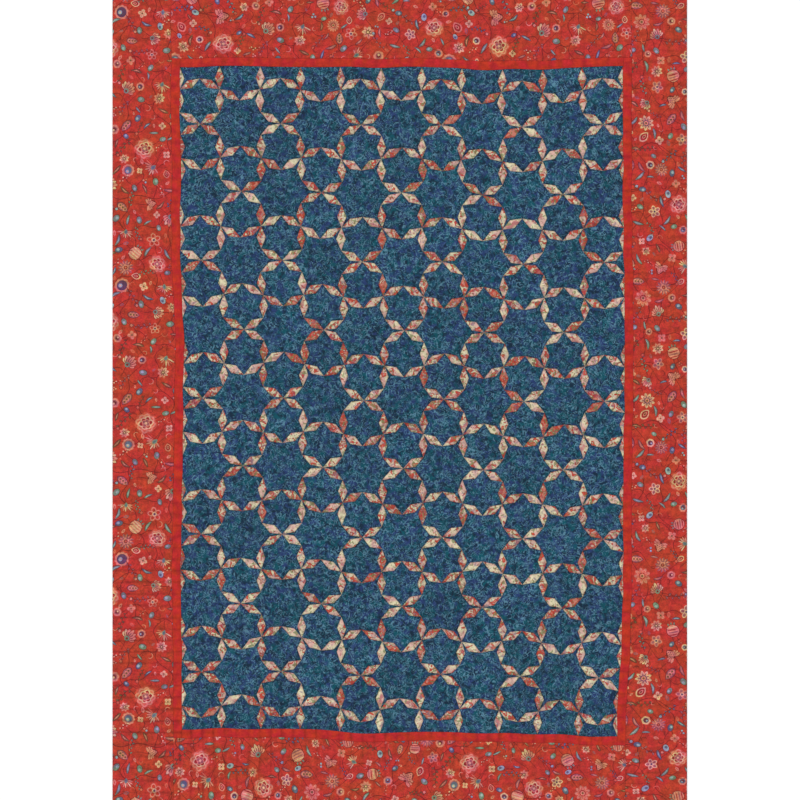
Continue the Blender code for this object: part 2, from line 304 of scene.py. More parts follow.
class Cloth:
    """One cloth's material, with short calls that add and link its nodes."""

    def __init__(self, name):
        self.material = bpy.data.materials.new(name)
        self.material.use_nodes = True
        self.nodes = self.material.node_tree.nodes
        self.links = self.material.node_tree.links
        self.surface = self.nodes["Principled BSDF"]
        self.place = self.nodes.new("ShaderNodeTexCoord").outputs["Object"]

    def feed(self, socket, value):
        """Link a socket to another node's output, or set it to a plain value."""
        if isinstance(value, bpy.types.NodeSocket):
            self.links.new(value, socket)
        else:
            socket.default_value = value

    def math(self, operation, first, second=0.5):
        node = self.nodes.new("ShaderNodeMath")
        node.operation = operation
        self.feed(node.inputs[0], first)
        self.feed(node.inputs[1], second)
        return node.outputs[0]

    def times(self, first, second):
        return self.math("MULTIPLY", first, second)

    def off(self, value, middle):
        """How far a value is from a middle value."""
        return self.math("ABSOLUTE", self.math("SUBTRACT", value, middle))

    def step(self, value, low, high, start=0.0, end=1.0):
        """Ease from start to end as the value goes from low to high."""
        node = self.nodes.new("ShaderNodeMapRange")
        node.interpolation_type = "SMOOTHSTEP"
        for socket, number in zip(node.inputs, (value, low, high, start, end)):
            self.feed(socket, number)
        return node.outputs[0]

    def blend(self, share, low, high, kind="MIX"):
        node = self.nodes.new("ShaderNodeMix")
        node.data_type = "RGBA"
        node.blend_type = kind
        self.feed(node.inputs["Factor"], share)
        self.feed(node.inputs[6], low)
        self.feed(node.inputs[7], high)
        return node.outputs[2]

    def shade(self, base, amount):
        """Multiply a colour by a grey amount."""
        grey = self.nodes.new("ShaderNodeCombineColor")
        for socket in grey.inputs:
            self.feed(socket, amount)
        return self.blend(1.0, base, grey.outputs[0], "MULTIPLY")

    def noise(self, place, scale, detail=2.0, distortion=0.0):
        node = self.nodes.new("ShaderNodeTexNoise")
        self.feed(node.inputs["Vector"], place)
        self.feed(node.inputs["Scale"], scale)
        self.feed(node.inputs["Detail"], detail)
        self.feed(node.inputs["Distortion"], distortion)
        return node.outputs["Fac"]

    def attribute(self, name, output="Fac"):
        node = self.nodes.new("ShaderNodeAttribute")
        node.attribute_name = name
        return node.outputs[output]

    def wave(self, direction, scale):
        node = self.nodes.new("ShaderNodeTexWave")
        node.bands_direction = direction
        self.feed(node.inputs["Vector"], self.place)
        self.feed(node.inputs["Scale"], scale)
        return node.outputs["Fac"]

    def cut_place(self, number):
        """The place on the printed cloth that each patch was cut from, by its own number."""
        scatter = self.nodes.new("ShaderNodeCombineXYZ")
        self.feed(scatter.inputs[0], self.times(number, CUT_SHIFT[0]))
        self.feed(scatter.inputs[1], self.times(number, CUT_SHIFT[1]))
        turn = self.nodes.new("ShaderNodeVectorRotate")
        turn.rotation_type = "Z_AXIS"
        self.feed(turn.inputs["Vector"], self.place)
        self.feed(turn.inputs["Angle"], self.times(number, CUT_TURN))
        add = self.nodes.new("ShaderNodeVectorMath")
        self.feed(add.inputs[0], turn.outputs[0])
        self.feed(add.inputs[1], scatter.outputs[0])
        return add.outputs[0]

    def finish(self, base, folds, depth=0.0008):
        """Put a finished colour on the shader, with folds and the weave as bump."""
        weave = self.times(self.wave("X", WEAVE_SCALE), self.wave("Y", WEAVE_SCALE))
        normal = None
        for height, distance in ((folds, depth), (weave, WEAVE_DEPTH)):
            bump = self.nodes.new("ShaderNodeBump")
            self.feed(bump.inputs["Height"], height)
            self.feed(bump.inputs["Distance"], distance)
            self.feed(bump.inputs["Strength"], BUMP_STRENGTH)
            if normal:
                self.feed(bump.inputs["Normal"], normal)
            normal = bump.outputs[0]
        self.feed(self.surface.inputs["Normal"], normal)
        self.feed(self.surface.inputs["Base Color"], base)
        self.surface.inputs["Roughness"].default_value = ROUGHNESS
        self.surface.inputs["Specular IOR Level"].default_value = SPECULAR
        self.surface.inputs["Sheen Weight"].default_value = SHEEN
        return self.material


def seam_folds(cloth, reach):
    """Small folds that gather where a patch is sewn to the next one."""
    folds = cloth.noise(cloth.place, 110.0, 3.0, 0.5)
    near = cloth.step(cloth.attribute("seam_distance"), 0.0, reach, 1.3, 0.45)
    return cloth.times(folds, near)


def seam_shadow(cloth, base, reach, depth):
    """Darken a colour where the cloth dips into a seam."""
    near = cloth.step(cloth.attribute("seam_distance"), 0.0, reach, 1.0 - depth, 1.0)
    return cloth.shade(base, near)


def blue_print():
    """Navy and teal cotton with a fine curling print, a little different on each patch."""
    cloth = Cloth("blue print cotton")
    number = cloth.attribute("patch_number")
    place = cloth.cut_place(number)
    tint = cloth.step(cloth.noise(place, 58.0, 2.0), 0.38, 0.62)
    base = cloth.blend(tint, colour(34, 54, 100), colour(2, 72, 86))
    deep = cloth.step(cloth.noise(place, 118.0, 2.0, 0.8), 0.36, 0.58)
    base = cloth.blend(deep, colour(8, 36, 57), base)
    swirl = cloth.noise(place, 84.0, 1.0, 1.8)
    line = cloth.step(cloth.off(swirl, 0.5), 0.010, 0.060, 0.9, 0.0)
    broken = cloth.step(cloth.noise(place, 90.0, 2.0), 0.32, 0.54)
    base = cloth.blend(cloth.times(line, broken), base, colour(84, 127, 148))
    # Random lighter and darker patches: partly the print's own uneven tone, partly painted shade
    # and light that stand in for the light falling on the puffs
    patchy = cloth.step(cloth.noise(cloth.place, 36.0, 3.0), 0.32, 0.68, 0.88, 1.10)
    bolt = cloth.math("FRACT", cloth.times(number, 57.0))
    base = cloth.shade(base, cloth.times(patchy, cloth.step(bolt, 0.0, 1.0, 0.94, 1.06)))
    return cloth.finish(seam_shadow(cloth, base, 0.0034, 0.35), seam_folds(cloth, 0.016))


def scrap_print():
    """Cream cotton with coral, rose and leaf-green blots, each scrap cut from its own place."""
    cloth = Cloth("cream and coral scraps")
    place = cloth.cut_place(cloth.attribute("patch_number"))
    tone = cloth.attribute("scrap_tone")
    lean = cloth.times(tone, 0.11)
    blots = cloth.math("ADD", cloth.noise(place, 82.0, 2.0, 1.2), lean)
    pale = cloth.step(cloth.noise(place, 60.0, 2.0), 0.4, 0.6)
    base = cloth.blend(pale, colour(202, 193, 160), colour(198, 158, 148))
    base = cloth.blend(cloth.step(blots, 0.54, 0.58), base, colour(180, 66, 50))
    base = cloth.blend(cloth.step(blots, 0.66, 0.70), base, colour(196, 122, 104))
    rose = cloth.step(cloth.noise(place, 70.0, 1.0), 0.58, 0.66, 0.0, 0.6)
    base = cloth.blend(rose, base, colour(158, 58, 74))
    outline = cloth.step(cloth.off(blots, 0.56), 0.004, 0.028, 0.75, 0.0)
    base = cloth.blend(outline, base, colour(100, 44, 44))
    leaf = cloth.noise(place, 125.0, 1.0, 1.0)
    base = cloth.blend(cloth.step(leaf, 0.58, 0.64, 0.0, 0.8), base, colour(112, 120, 78))
    base = cloth.blend(cloth.step(leaf, 0.38, 0.33, 0.0, 0.7), base, colour(126, 112, 124))
    patchy = cloth.step(cloth.noise(cloth.place, 140.0, 2.0), 0.3, 0.7, 0.80, 1.10)
    patchy = cloth.times(patchy, cloth.step(tone, -0.6, 1.0, 1.10, 0.90))
    base = seam_shadow(cloth, cloth.shade(base, patchy), 0.0022, 0.35)
    return cloth.finish(base, seam_folds(cloth, 0.010), depth=0.0006)


def line_pull(cloth):
    """How hard the thread pulls the cloth in, for the groove's bump and its painted shade: most at
    the lower left, least above it.
    """
    split = cloth.nodes.new("ShaderNodeSeparateXYZ")
    cloth.feed(split.inputs[0], cloth.place)
    right = cloth.step(split.outputs["X"], -0.50, 0.50, 0.05, 0.60)
    left = cloth.step(split.outputs["X"], 0.30, -0.50, 0.12, 1.0)
    low = cloth.step(split.outputs["Y"], -0.05, -0.65, 0.0, 2.2)
    pull = cloth.math("ADD", right, cloth.times(low, left))
    uneven = cloth.step(cloth.noise(cloth.place, 9.0, 2.0), 0.35, 0.65, 0.55, 1.35)
    return cloth.times(pull, uneven)


def finish_band(cloth, base, depth):
    """Finish a quilted band: painted shade and stitches on its lines, small folds between them
    with painted shade in their hollows.
    """
    phase = cloth.attribute("line_phase")
    run = cloth.attribute("stitch_run")
    near = cloth.off(cloth.math("FRACT", phase), 0.5)
    off_line = cloth.times(near, LINE_PITCH)
    # Painted shade along each quilting line, as dark as depth asks
    base = cloth.shade(base, cloth.step(off_line, 0.0, LINE_SHADE_REACH, 1.0 - depth, 1.0))
    # Painted shade in the groove that the thread pulls in, strongest where the pull is; the same
    # groove is bumped below
    groove = cloth.times(cloth.step(off_line, 0.0, GROOVE_REACH, 1.0, 0.0), line_pull(cloth))
    base = cloth.shade(base, cloth.math("SUBTRACT", 1.0, cloth.times(groove, GROOVE_SHADE)))
    dash = cloth.math("FRACT", cloth.math("DIVIDE", run, STITCH_LENGTH))
    on_line = cloth.math("LESS_THAN", off_line, THREAD_HALF_WIDTH)
    thread = cloth.times(on_line, cloth.math("LESS_THAN", dash, STITCH_SHARE))
    base = cloth.blend(cloth.times(thread, 0.6), base, colour(150, 44, 36))
    place = cloth.nodes.new("ShaderNodeCombineXYZ")
    cloth.feed(place.inputs[0], run)
    cloth.feed(place.inputs[1], cloth.times(phase, LINE_PITCH * FOLD_LENGTH_SHARE))
    folds = cloth.noise(place.outputs[0], 125.0, 2.0, 0.3)
    # Painted shade in the hollows of the small folds and a little painted light on their crests
    base = cloth.shade(base, cloth.step(folds, 0.30, 0.62, 0.90, 1.03))
    folds = cloth.times(folds, cloth.step(near, 0.05, 0.5, 1.3, 0.6))
    folds = cloth.math("SUBTRACT", folds, cloth.times(groove, GROOVE_DEPTH_SHARE))
    return cloth.finish(base, folds, depth=BAND_FOLD_DEPTH)


def flower_print():
    """Red cotton whose flowers come from the mesh's own coloured faces."""
    cloth = Cloth("red flower print cotton")
    base = cloth.attribute("print", "Vector")
    twig = cloth.noise(cloth.place, 64.0, 3.0, 0.9)
    twig = cloth.step(cloth.off(twig, 0.5), 0.004, 0.030, 0.55, 0.0)
    twig = cloth.times(twig, cloth.attribute("on_ground"))
    base = cloth.blend(twig, base, colour(126, 50, 36))
    warm = cloth.step(cloth.noise(cloth.place, 24.0, 4.0, 0.5), 0.36, 0.64)
    hue = cloth.blend(warm, (1.04, 0.80, 1.16, 1.0), (0.97, 1.20, 0.82, 1.0))
    base = cloth.blend(1.0, base, hue, "MULTIPLY")
    blotch = cloth.step(cloth.noise(cloth.place, 105.0, 2.0), 0.32, 0.68, 0.84, 1.14)
    fine = cloth.step(cloth.noise(cloth.place, 330.0, 2.0), 0.3, 0.7, 0.84, 1.14)
    base = cloth.shade(base, cloth.times(blotch, fine))
    return finish_band(cloth, seam_shadow(cloth, base, BAND_SEAM_REACH, BAND_SEAM_SHADE), 0.04)


def plain_red():
    """Plain red cotton, faintly mottled."""
    cloth = Cloth("plain red cotton")
    mottle = cloth.step(cloth.noise(cloth.place, 45.0, 3.0), 0.35, 0.65)
    base = cloth.blend(mottle, colour(180, 33, 38), colour(182, 47, 24))
    patchy = cloth.step(cloth.noise(cloth.place, 70.0, 3.0), 0.30, 0.70, 0.88, 1.12)
    fine = cloth.step(cloth.noise(cloth.place, 240.0, 2.0), 0.25, 0.75, 0.88, 1.12)
    base = cloth.shade(base, cloth.times(patchy, fine))
    return finish_band(cloth, seam_shadow(cloth, base, BAND_SEAM_REACH, BAND_SEAM_SHADE), 0.13)


def underside():
    """Plain faded cotton of the quilt's back."""
    cloth = Cloth("plain back cotton")
    mottle = cloth.step(cloth.noise(cloth.place, 50.0, 3.0), 0.3, 0.7)
    base = cloth.blend(mottle, colour(168, 112, 98), colour(182, 128, 110))
    return finish_band(cloth, base, 0.20)


def close_below(bm, underside_index):
    """Turn an open face into a closed cloth: upright sides, and a flat underside at zero."""
    rim = [edge for edge in bm.edges if edge.is_boundary]
    made = bmesh.ops.extrude_edge_only(bm, edges=rim)["geom"]
    for item in made:
        if isinstance(item, bmesh.types.BMVert):
            item.co.z = 0.0
    loop = [edge for edge in bm.edges if edge.is_boundary]
    under = bmesh.ops.triangle_fill(bm, edges=loop, use_beauty=True)["geom"]
    for item in under:
        if isinstance(item, bmesh.types.BMFace):
            item.material_index = underside_index
    bmesh.ops.recalc_face_normals(bm, faces=bm.faces[:])


def add_piece(name, bm, materials, node):
    """Turn a finished bmesh into a piece that rides on the root and replaces its node."""
    mesh = bpy.data.meshes.new(name)
    bm.to_mesh(mesh)
    bm.free()
    mesh.shade_smooth()
    mesh.set_sharp_from_angle(angle=math.radians(SHARP_ANGLE))
    for material in materials:
        mesh.materials.append(material)
    piece = bpy.data.objects.new(name, mesh)
    bpy.context.scene.collection.objects.link(piece)
    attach(piece, "root")
    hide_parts(node)


def keep(mesh, label, domain, values, kind="FLOAT", field="value"):
    """Store a value for each point or face of a mesh, under a name that a material reads."""
    layer = mesh.attributes.new(label, kind, domain)
    layer.data.foreach_set(field, np.array(values, dtype=np.float32).ravel())


def editable(mesh):
    """Turn a mesh into a bmesh that can be edited, and drop the mesh."""
    bm = bmesh.new()
    bm.from_mesh(mesh)
    bpy.data.meshes.remove(mesh)
    return bm


def lay_down(bm, height_at):
    """Give each point of a squared-up face its height, and then its uneven place."""
    bm.verts.ensure_lookup_table()
    places = np.array([vert.co[:2] for vert in bm.verts])
    heights = height_at(places[:, 0], places[:, 1])
    laid_x, laid_y = as_laid(places[:, 0], places[:, 1])
    for vert, x, y, z in zip(bm.verts, laid_x, laid_y, heights):
        vert.co = (x, y, z)


def distance_to_outline(points, outline):
    """Distance from each point to the nearest side of a closed outline."""
    best = np.full(len(points), np.inf)
    for start, end in zip(outline, np.roll(outline, -1, axis=0)):
        side = end - start
        share = np.clip((points - start) @ side / (side @ side), 0, 1)
        gap = np.linalg.norm(points - start - share[:, None] * side, axis=1)
        best = np.minimum(best, gap)
    return best


def inside_outline(points, outline):
    """Whether each point is inside a closed outline."""
    inside = np.zeros(len(points), bool)
    x, y = points[:, 0], points[:, 1]
    for (x1, y1), (x2, y2) in zip(outline, np.roll(outline, -1, axis=0)):
        if y1 != y2:
            crosses = ((y1 > y) != (y2 > y)) & (x < (x2 - x1) * (y - y1) / (y2 - y1) + x1)
            inside ^= crosses
    return inside


Patch = namedtuple("Patch", "points triangles seam_distance")


def patch_shape(outline):
    """A patch's mesh: points on its seam, rows just inside it, and an even filling."""
    outline = np.array(outline)
    rim = []
    inner = []
    for start, end in zip(outline, np.roll(outline, -1, axis=0)):
        side = end - start
        length = np.linalg.norm(side)
        inward = np.array((-side[1], side[0])) / length
        steps = max(round(length / SEAM_STEP), 1)
        for step in range(steps):
            rim.append(start + side * step / steps)
            middle = start + side * (step + 0.5) / steps
            inner += [(middle + inward * row, row) for row in SHOULDER_ROWS]
    kept = [
        point for point, row in inner
        if distance_to_outline(point[None], outline)[0] > ROW_CLEARANCE * row
    ]
    low, high = outline.min(axis=0), outline.max(axis=0)
    row_step = INNER_STEP * math.sqrt(3) / 2
    filling = [
        (x + INNER_STEP / 2 * (index % 2), y)
        for index, y in enumerate(np.arange(low[1], high[1], row_step))
        for x in np.arange(low[0], high[0], INNER_STEP)
    ]
    filling = np.array(filling)
    filling = filling[inside_outline(filling, outline)]
    filling = filling[distance_to_outline(filling, outline) > INNER_MARGIN]
    everything = np.vstack((np.array(rim), np.array(kept), filling))
    face = [list(range(len(rim)))]
    cut = delaunay_2d_cdt([Vector(p) for p in everything], [], face, 0, PATCH_MERGE_DISTANCE, True)
    points = np.array([tuple(p) for p in cut[0]])
    triangles = np.array([tuple(cut[2][k]) for k, owners in enumerate(cut[5]) if 0 in owners])
    return Patch(points, triangles, distance_to_outline(points, outline))


def polar(radius, degrees):
    """A point at a radius and an angle."""
    angle = math.radians(degrees)
    return (radius * math.cos(angle), radius * math.sin(angle))


def mosaic_shapes():
    """The three kinds of patch: six-pointed star, hexagon, and the slim scrap between."""
    edge = PATCH_EDGE
    half_width = edge * SCRAP_WIDTH_SHARE / 2
    corners = []
    for index in range(STAR_POINTS):
        corners.append(np.array(polar(edge * math.sqrt(3), 60 * index)))
        corners.append(np.array(polar(edge, 60 * index + 30)))
    star = []
    scrap_places = []
    for corner, following in zip(corners, corners[1:] + corners[:1]):
        heading = following - corner
        along = heading / np.linalg.norm(heading)
        middle = (corner + following) / 2
        star += [corner, middle + np.array((-along[1], along[0])) * half_width]
        scrap_places.append((middle, math.atan2(heading[1], heading[0])))
    hexagon = []
    for index in range(6):
        hexagon.append(polar(edge, 60 * index + 30))
        hexagon.append(polar(edge * math.sqrt(3) / 2 - half_width, 60 * index + 60))
    scrap = [(-edge / 2, 0), (0, -half_width), (edge / 2, 0), (0, half_width)]
    return patch_shape(star), patch_shape(hexagon), patch_shape(scrap), scrap_places


Placed = namedtuple("Placed", "shape x y turn kind")


def mosaic_layout():
    """Each patch of the centre as its shape, middle, turn and kind (0 blue, 1 scrap)."""
    star, hexagon, scrap, scrap_places = mosaic_shapes()
    pitch = FIELD_WIDTH / STAR_COLUMNS
    layout = []
    for row in STAR_ROWS_MADE:
        for column in STAR_COLUMNS_MADE:
            x = (column + 0.5 * (row % 2)) * pitch
            y = 3 * PATCH_EDGE * row
            layout.append(Placed(star, x, y, 0.0, 0))
            layout.append(Placed(hexagon, x, y + 2 * PATCH_EDGE, 0.0, 0))
            layout.append(Placed(hexagon, x, y - 2 * PATCH_EDGE, 0.0, 0))
            for (spot_x, spot_y), turn in scrap_places:
                layout.append(Placed(scrap, x + spot_x, y + spot_y, turn, 1))
    reach_x = FIELD_WIDTH / 2 + 2 * PATCH_EDGE
    reach_y = FIELD_LENGTH / 2 + 2 * PATCH_EDGE
    return [
        patch for patch in layout
        if abs(patch.x) < reach_x and abs(patch.y * LENGTHWISE_STRETCH) < reach_y
    ]


def mosaic_mesh():
    """All patches of the centre as one mesh, still flat and not yet cut to the field."""
    chance = random.Random(MOSAIC_SEED)
    points = []
    triangles = []
    seam = []
    numbers = []
    tones = []
    kinds = []
    for shape, x, y, turn, kind in mosaic_layout():
        start = len(points)
        cos, sin = math.cos(turn), math.sin(turn)
        spots = shape.points @ np.array(((cos, sin), (-sin, cos))) + (x, y)
        spots[:, 1] *= LENGTHWISE_STRETCH
        points += [(px + FIELD_MIDDLE_X, py + FIELD_MIDDLE_Y, 0.0) for px, py in spots]
        triangles += (shape.triangles + start).tolist()
        seam += list(shape.seam_distance)
        count = len(shape.triangles)
        numbers += [chance.random()] * count
        tones += [chance.choice(SCRAP_TONES)] * count
        kinds += [kind] * count
    mesh = bpy.data.meshes.new("mosaic")
    mesh.from_pydata(points, [], triangles)
    mesh.polygons.foreach_set("material_index", kinds)
    keep(mesh, "seam_distance", "POINT", seam)
    keep(mesh, "patch_number", "FACE", numbers)
    keep(mesh, "scrap_tone", "FACE", tones)
    return mesh


def centre_height(bm):
    """Heights over the centre: each patch stands up from its seams by its own kind."""
    seam = bm.verts.layers.float["seam_distance"]
    distance = np.array([vert[seam] for vert in bm.verts])
    scrap = np.array([all(face.material_index for face in vert.link_faces) for vert in bm.verts])

    def height_at(x, y):
        near = np.clip(np.minimum(distance, rim_distance(x, y, FIELD)), 0, None)
        blue_rise = PATCH_RISE * (1 - np.exp(-near / PATCH_SHOULDER))
        scrap_rise = SCRAP_RISE * (1 - np.exp(-near / SCRAP_SHOULDER))
        rise = np.where(scrap, scrap_rise, blue_rise)
        return SEAM_HEIGHT + rise * (1 + rippled(x, y, PUFF_RIPPLES))

    return height_at


def make_centre(back):
    """The pieced centre, cut to its field, puffed, laid down and closed underneath."""
    bm = editable(mosaic_mesh())
    bmesh.ops.remove_doubles(bm, verts=bm.verts[:], dist=WELD_DISTANCE)
    half_gap = SEAM_GAP / 2
    seams = (
        ((FIELD.left + half_gap, 0, 0), (-1, 0, 0)),
        ((FIELD.right - half_gap, 0, 0), (1, 0, 0)),
        ((0, FIELD.bottom + half_gap, 0), (0, -1, 0)),
        ((0, FIELD.top - half_gap, 0), (0, 1, 0)),
    )
    for place, outward in seams:
        bmesh.ops.bisect_plane(
            bm, geom=bm.verts[:] + bm.edges[:] + bm.faces[:], dist=WELD_DISTANCE,
            plane_co=place, plane_no=outward, clear_outer=True,
        )
    lay_down(bm, centre_height(bm))
    close_below(bm, 2)
    materials = (blue_print(), scrap_print(), back)
    add_piece(
        "pieced_centre", bm, materials, "centre_panel"
    )


# Detail of the print's outlines, in metres and points
DISC_STEP = 0.0030
DISC_FEWEST_POINTS = 8
LOBE_POINTS = 6
STEM_STEPS = 11
STEM_HALF_WIDTH = 0.0007
SPRIG_TIP_RADIUS = 0.0042
SPRIG_TIP_INNER_RADIUS = 0.0030
UPWARD = math.pi / 2

# A petal's side from its foot to its tip, and the outline that two such sides make
PetalPoint = namedtuple("PetalPoint", "along aside")
PETAL_SIDE = (
    PetalPoint(0.10, 0.34), PetalPoint(0.28, 0.74), PetalPoint(0.52, 1.00),
    PetalPoint(0.74, 0.88), PetalPoint(0.90, 0.54), PetalPoint(0.97, 0.26),
)
PETAL_OUTLINE = [(0.0, 0.0)] + [(p.along, -p.aside) for p in PETAL_SIDE]
PETAL_OUTLINE += [(1.0, 0.0)] + [(p.along, p.aside) for p in reversed(PETAL_SIDE)]


def turned(points, angle):
    """Points turned about the middle."""
    cos, sin = math.cos(angle), math.sin(angle)
    return [(x * cos - y * sin, x * sin + y * cos) for x, y in points]


def ribbon(line, half_x, half_y):
    """An outline round a line of points, widened to both its sides."""
    lower = [(x - half_x, y - half_y) for x, y in line]
    upper = [(x + half_x, y + half_y) for x, y in line]
    return lower + upper[::-1]


class Bloom:
    """One motif while it is drawn: coloured outlines, the last on top, in shares of its size."""

    def __init__(self, size, chance):
        self.size = size
        self.pick = chance.choice
        self.vary = chance.uniform
        self.shapes = []

    def outline(self, name, points):
        self.shapes.append((name, [(self.size * x, self.size * y) for x, y in points]))

    def disc(self, name, radius, lobes=0, depth=0.0, middle=(0.0, 0.0), stretch=(1.0, 1.0)):
        """A round outline, plain or with soft lobes."""
        radius = self.size * radius
        even = round(2 * math.pi * radius / DISC_STEP)
        count = max(DISC_FEWEST_POINTS, even, LOBE_POINTS * lobes)
        outline = []
        for index in range(count):
            angle = 2 * math.pi * index / count
            reach = radius * (1 + depth * math.cos(lobes * angle))
            x = self.size * middle[0] + reach * math.cos(angle)
            y = self.size * middle[1] + reach * math.sin(angle)
            outline.append((x * stretch[0], y * stretch[1]))
        self.shapes.append((name, outline))

    def petal(self, name, turn, start, end, half_width, bend=0.0, middle=(0.0, 0.0)):
        """A petal or leaf that points away from the middle, bent aside if asked."""
        start, end, half_width, bend = (
            self.size * share for share in (start, end, half_width, bend)
        )
        outline = []
        for along, aside in PETAL_OUTLINE:
            sway = bend * math.sin(math.pi * along)
            outline.append((start + (end - start) * along, half_width * aside + sway))
        x, y = self.size * middle[0], self.size * middle[1]
        self.shapes.append((name, [(x + px, y + py) for px, py in turned(outline, turn)]))

    def petals(self, name, count, start, end, half_width, turn=0.0, spread=2 * math.pi):
        for index in range(count):
            self.petal(name, turn + spread * index / count, start, end, half_width)

    def stalk(self, length, bend):
        """A thin bent stem that runs down from the middle."""
        line = []
        for step in range(STEM_STEPS):
            share = step / (STEM_STEPS - 1)
            aside = self.size * bend * math.sin(math.pi * share / 2) ** 2
            line.append((aside, -(self.size * length) * share))
        self.shapes.append(("vine", ribbon(line, STEM_HALF_WIDTH, 0)))


def ring_flower(bloom):
    """A small round flower with a dark eye."""
    outer = bloom.pick(("cream", "blush", "blush"))
    eye = bloom.pick(("plum", "slate", "mauve"))
    count = bloom.pick((5, 6, 7))
    bloom.disc("halo", 1.12)
    bloom.disc(outer, 1.0, count, 0.06)
    bloom.disc(eye, 0.64)
    bloom.disc("shade", 0.40)
    bloom.disc("sky" if eye != "mauve" else "cream", 0.24, middle=(0.14, 0.16))


def wheel_flower(bloom):
    """A large round flower: scalloped edge, pale ring and blue eye."""
    inner = bloom.pick(("mauve", "crimson", "plum"))
    bloom.disc("halo", 1.06, 10, 0.06)
    bloom.disc("blush", 1.0, 10, 0.06)
    bloom.disc(inner, 0.74)
    bloom.disc(bloom.pick(("slate", "plum")), 0.58)
    bloom.disc("sky", 0.30, middle=(-0.16, 0.14))
    bloom.disc("cream", 0.14, middle=(-0.16, 0.14))


def rosette(bloom):
    """Round petals about an olive eye."""
    count = bloom.pick((6, 7, 8))
    half_width = 2.2 / count
    bloom.petals("halo", count, 0.1, 1.10, half_width)
    for step in range(count):
        turn = 2 * math.pi * step / count
        reach = bloom.vary(0.86, 1.0)
        name = bloom.pick(("blush", "cream", "blush"))
        bloom.petal(name, turn, 0.14, reach, half_width * 0.84)
        bloom.petal("mauve", turn, 0.2, reach * 0.66, half_width * 0.36)
    bloom.disc("olive", 0.32)
    bloom.disc("cream", 0.15)


def daisy(bloom):
    """Slim petals about a ringed eye."""
    count = bloom.pick((9, 11, 14))
    half_width = 1.7 / count
    name = bloom.pick(("blush", "cream", "blush"))
    eye = bloom.pick(("crimson", "slate", "plum"))
    bloom.disc("halo", 0.92)
    bloom.petals(name, count, 0.2, 1.0, half_width)
    bloom.petals(bloom.pick(("mauve", "coral")), count, 0.3, 0.70, half_width * 0.5)
    bloom.disc(eye, 0.40)
    bloom.disc("blush", 0.28, 7, 0.1)
    bloom.disc("olive", 0.15)


# Rings of a peony, from the outside in
PeonyRing = namedtuple("PeonyRing", "count reach half_width edge inner")
PEONY_RINGS = (
    PeonyRing(8, 1.0, 0.34, "blush", "coral"),
    PeonyRing(6, 0.70, 0.30, "cream", "crimson"),
    PeonyRing(4, 0.42, 0.22, "blush", "mauve"),
)


def peony(bloom):
    """Three rings of broad cupped petals, each edged in a paler tone."""
    bloom.stalk(1.5, 0.4)
    bloom.disc("halo", 0.98, 7, 0.06)
    for ring in PEONY_RINGS:
        lean = bloom.vary(0, 1)
        for step in range(ring.count):
            turn = 2 * math.pi * (step + lean) / ring.count
            length = ring.reach * bloom.vary(0.86, 1.04)
            bloom.petal(ring.edge, turn, 0.04, length, ring.half_width)
            bloom.petal(ring.inner, turn, 0.04, length * 0.84, ring.half_width * 0.66)
    bloom.disc("cream", 0.12)


def cone_flower(bloom):
    """A tall flower of overlapping scales with petals spread at its foot."""
    bloom.stalk(1.5, -0.4)
    for side in (-1, 1):
        for step in range(3):
            turn = UPWARD + side * (1.0 + 0.42 * step)
            bloom.petal("shade", turn, 0, 0.80, 0.19)
            bloom.petal("blush", turn, 0.05, 0.76, 0.14)
    bloom.petal("shade", UPWARD, -0.20, 1.0, 0.44)
    for row, count in enumerate((1, 2, 3, 2)):
        for step in range(count):
            middle = (0.25 * (step - (count - 1) / 2), 0.62 - 0.20 * row)
            bloom.petal("blush", UPWARD, -0.06, 0.30, 0.15, middle=middle)
            bloom.petal("mauve", UPWARD, 0, 0.20, 0.08, middle=middle)


def fan_flower(bloom):
    """A half-open flower: petals spread like a fan over a green cup."""
    bloom.stalk(1.1, 0.3)
    for step in (-3, 3, -2, 2, -1, 1, 0):
        turn = UPWARD + 0.42 * step
        reach = (1.0 - 0.07 * abs(step)) * bloom.vary(0.90, 1.04)
        name = bloom.pick(("blush", "blush", "cream"))
        bloom.petal("shade", turn, 0, reach, 0.20)
        bloom.petal(name, turn, 0.1, reach * 0.95, 0.155)
        bloom.petal("mauve", turn, 0.12, reach * 0.66, 0.075)
    bloom.disc("sage", 0.24)
    bloom.disc("shade", 0.11)


def striped_fruit(bloom):
    """A round fruit with curved stripes and a small crown."""
    bloom.stalk(1.9, 0.5)
    bloom.petals("sage", 3, 0.8, 1.35, 0.12, UPWARD - 0.4, 1.2)
    bloom.disc("shade", 1.0)
    bloom.disc("blush", 0.90)
    places = [0.8 * (step / 3 - 1) for step in range(7)]
    for middle in (-0.56, -0.16, 0.24, 0.6):
        lower = [(0.98 * x, middle - 0.15 * (1 - x * x)) for x in places]
        upper = [(0.98 * x, middle + 0.04 * (1 - x * x)) for x in places]
        bloom.outline(bloom.pick(("mauve", "crimson", "cream")), lower + upper[::-1])


def thistle(bloom):
    """A round head with many fine spikes over a scaled cup."""
    bloom.stalk(1.5, 0.4)
    count = bloom.pick((12, 16, 19))
    bloom.petals("mauve", count, 0.25, 1.0, 1.4 / count)
    bloom.petals("blush", count, 0.35, 0.86, 0.8 / count, turn=0.17)
    bloom.disc("mauve", 0.52)
    bloom.disc("blush", 0.40, 5, 0.2)
    bloom.disc("shade", 0.24)
    bloom.disc("coral", 0.14)


def spread_lily(bloom):
    """Long uneven petals that open upward from a small cup."""
    bloom.stalk(1.3, 0.4)
    for step in range(-4, 5):
        turn = UPWARD + 0.36 * step
        reach = bloom.vary(0.66, 1.0)
        name = bloom.pick(("cream", "blush", "blush", "coral"))
        bloom.petal("shade", turn, 0, reach * 1.03, 0.11)
        bloom.petal(name, turn, 0.08, reach, 0.075)
    bloom.petal("sage", UPWARD, -0.25, 0.35, 0.2)
    bloom.petal("slate", UPWARD, -0.1, 0.25, 0.1)


